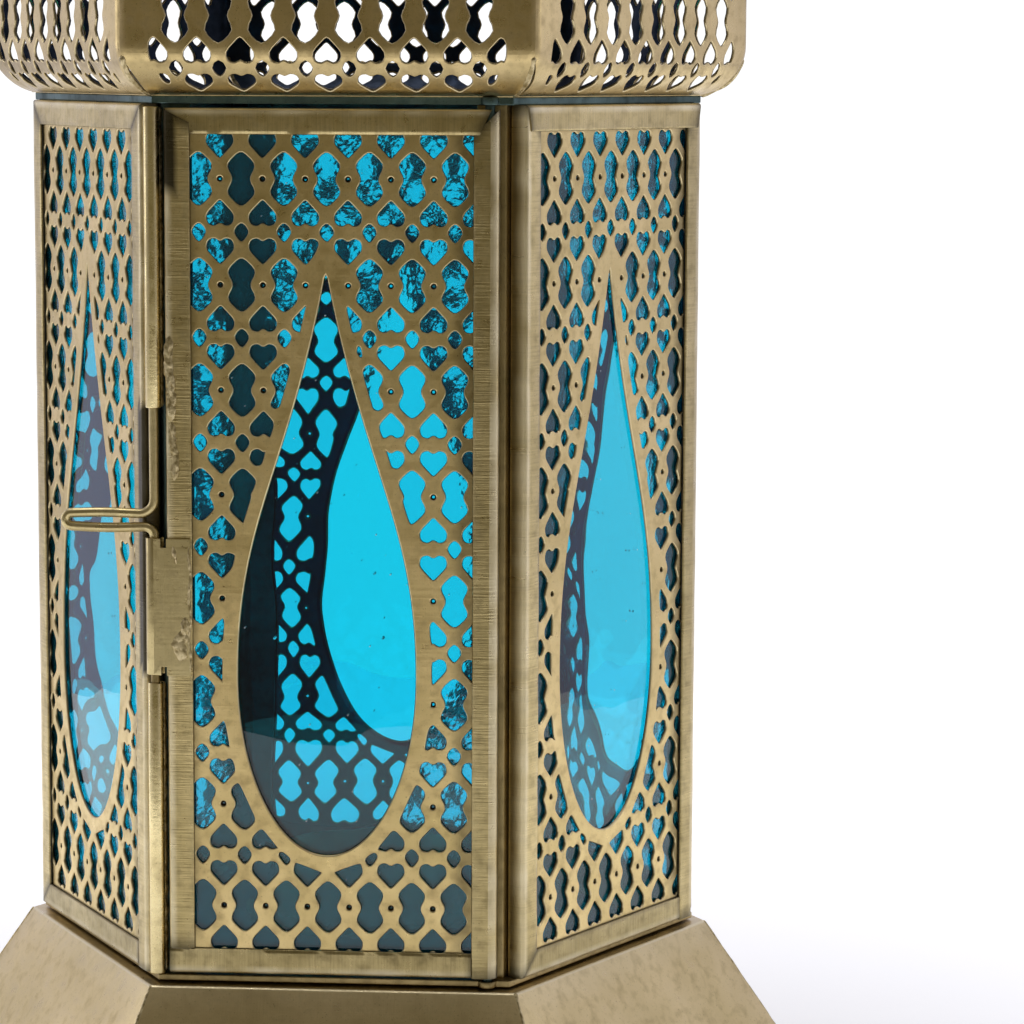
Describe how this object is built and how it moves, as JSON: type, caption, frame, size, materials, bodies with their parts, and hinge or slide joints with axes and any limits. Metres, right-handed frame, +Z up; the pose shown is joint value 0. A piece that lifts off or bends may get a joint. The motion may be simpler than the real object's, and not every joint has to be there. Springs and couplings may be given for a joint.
{
  "type": "candle lantern",
  "caption": "Hexagonal pierced brass candle lantern with blue glass panes, a hinged door with a sliding wire bolt, a flared base, a domed roof and a hanging ring.",
  "frame": {"origin": "centre of the base's underside, on the surface that the lantern stands on", "axes": "+Z up; the door faces -Y, its hinge is on the +X side and its bolt on the -X side"},
  "size_m": [0.1996, 0.1728, 0.3818],
  "materials": {
    "antique_brass": "aged satin brass, brushed across the folded channels",
    "bright_brass": "rubbed brass, satin to bright",
    "blue_glass": "clear turquoise blue sheet glass with small seeds"
  },
  "bodies": {
    "lantern_body": {"base_band": "antique_brass", "base_hem": "antique_brass", "base_skirt": "antique_brass", "base_sill": "antique_brass", "floor_pan": "antique_brass", "candle_cup": "bright_brass", "post_front_left": "antique_brass", "post_front_right": "antique_brass", "post_right": "antique_brass", "post_back_right": "antique_brass", "post_back_left": "antique_brass", "post_left": "antique_brass", "frame_right_front": "antique_brass", "sheet_right_front": "antique_brass", "glass_right_front": "blue_glass", "frame_right_back": "antique_brass", "sheet_right_back": "antique_brass", "glass_right_back": "blue_glass", "frame_back": "antique_brass", "sheet_back": "antique_brass", "glass_back": "blue_glass", "frame_left_back": "antique_brass", "sheet_left_back": "antique_brass", "glass_left_back": "blue_glass", "frame_left_front": "antique_brass", "sheet_left_front": "antique_brass", "glass_left_front": "blue_glass", "bolt_tube_upper": "bright_brass", "bolt_tube_lower": "bright_brass", "bolt_tube_core": "antique_brass", "body_head": "antique_brass", "crown_front": "antique_brass", "crown_right_front": "antique_brass", "crown_right_back": "antique_brass", "crown_back": "antique_brass", "crown_left_back": "antique_brass", "crown_left_front": "antique_brass", "roof_front": "antique_brass", "roof_right_front": "antique_brass", "roof_right_back": "antique_brass", "roof_back": "antique_brass", "roof_left_back": "antique_brass", "roof_left_front": "antique_brass", "roof_collar": "bright_brass", "finial_ball": "bright_brass", "hanging_eye": "bright_brass", "eye_nut": "bright_brass"},
    "door": {"door_latch_stile": "antique_brass", "door_hinge_stile": "antique_brass", "door_top_rail": "antique_brass", "door_bottom_rail": "antique_brass", "door_sheet": "antique_brass", "door_glass": "blue_glass", "door_keeper": "antique_brass", "door_pivot_pins": "bright_brass"},
    "bolt": {"latch_bolt": "bright_brass"},
    "ring": {"hanging_ring": "bright_brass"}
  },
  "joints": [
    {"name": "door_hinge", "type": "hinge", "parent": "lantern_body", "child": "door", "pos_m": [0.0319, -0.0631, 0.0493], "axis": [0, 0, 1], "range_deg": [0, 150]},
    {"name": "bolt_slide", "type": "slide", "parent": "lantern_body", "child": "bolt", "axis": [0, 0, 1], "range_m": [0, 0.019]},
    {"name": "ring_swing", "type": "hinge", "parent": "lantern_body", "child": "ring", "pos_m": [0, 0, 0.3735], "axis": [1, 0, 0], "range_deg": [0, 306]}
  ]
}
